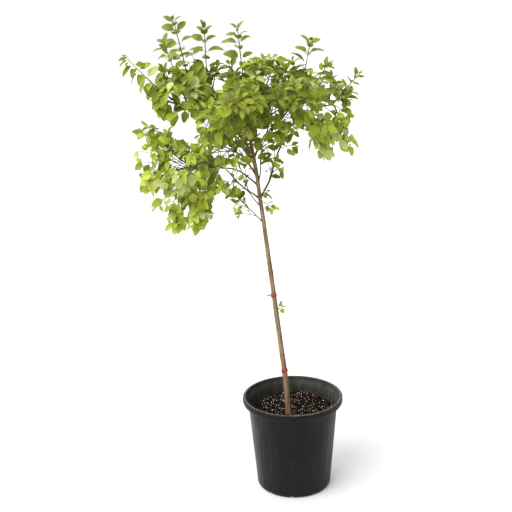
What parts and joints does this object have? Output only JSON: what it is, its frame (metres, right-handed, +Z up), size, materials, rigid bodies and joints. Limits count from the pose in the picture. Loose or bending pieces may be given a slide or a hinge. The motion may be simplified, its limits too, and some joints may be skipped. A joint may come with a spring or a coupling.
{
  "type": "potted duranta",
  "caption": "Small duranta shrub trained as a standard on a thin leaning trunk, with a loose lopsided crown, in a round black nursery pot of potting mix.",
  "frame": {"origin": "middle of the pot's flat underside", "axes": "+Z up, +X to the right of the view from the front, +Y to the back; the crown leans towards -X"},
  "size_m": [0.6453, 0.507, 1.4069],
  "materials": {
    "pot": "satin charcoal black moulded plastic",
    "soil": "dark moist potting mix with pale grit",
    "bark": "thin tan and grey-brown bark, ridged lengthwise",
    "leaf": "soft satin green leaves",
    "tie": "matt red soft plastic tie"
  },
  "bodies": {
    "root": {"pot": "pot", "soil": "soil", "trunk": "bark", "low_left_bough": "bark", "thin_left_bough": "bark", "left_bough": "bark", "arching_left_bough": "bark", "right_bough": "bark", "outer_right_bough": "bark", "inner_right_bough": "bark", "upper_left_bough": "bark", "rising_left_bough": "bark", "upright_left_bough": "bark", "front_bough": "bark", "front_left_bough": "bark", "front_right_bough": "bark", "back_bough": "bark", "back_left_bough": "bark", "low_back_bough": "bark", "back_right_bough": "bark", "upper_tie": "tie", "lower_tie": "tie", "leader_shoot": "leaf", "far_left_shoot": "leaf", "second_left_shoot": "leaf", "tallest_shoot": "leaf", "upright_left_shoot": "leaf", "upper_front_spray": "leaf", "upper_back_spray": "leaf", "upper_right_shoot": "leaf", "right_front_shoot": "leaf", "far_right_shoot": "leaf", "right_hanging_spray": "leaf", "far_right_hanging_spray": "leaf", "front_crown": "leaf", "front_left_crown": "leaf", "front_right_crown": "leaf", "inner_right_crown": "leaf", "inner_left_crown": "leaf", "back_crown": "leaf", "back_left_crown": "leaf", "back_right_crown": "leaf", "middle_left_crown": "leaf", "under_left_crown": "leaf", "low_front_crown": "leaf", "under_shoot_spray": "leaf", "left_rising_spray": "leaf", "far_left_hanging_spray": "leaf", "low_left_hanging_spray": "leaf", "low_middle_hanging_spray": "leaf", "front_hanging_spray": "leaf", "back_hanging_spray": "leaf", "left_band_spray": "leaf", "low_left_spray": "leaf", "inner_left_spray": "leaf", "inner_right_spray": "leaf", "under_right_spray": "leaf", "fork_spray": "leaf", "trunk_shoot": "leaf"}
  },
  "joints": []
}
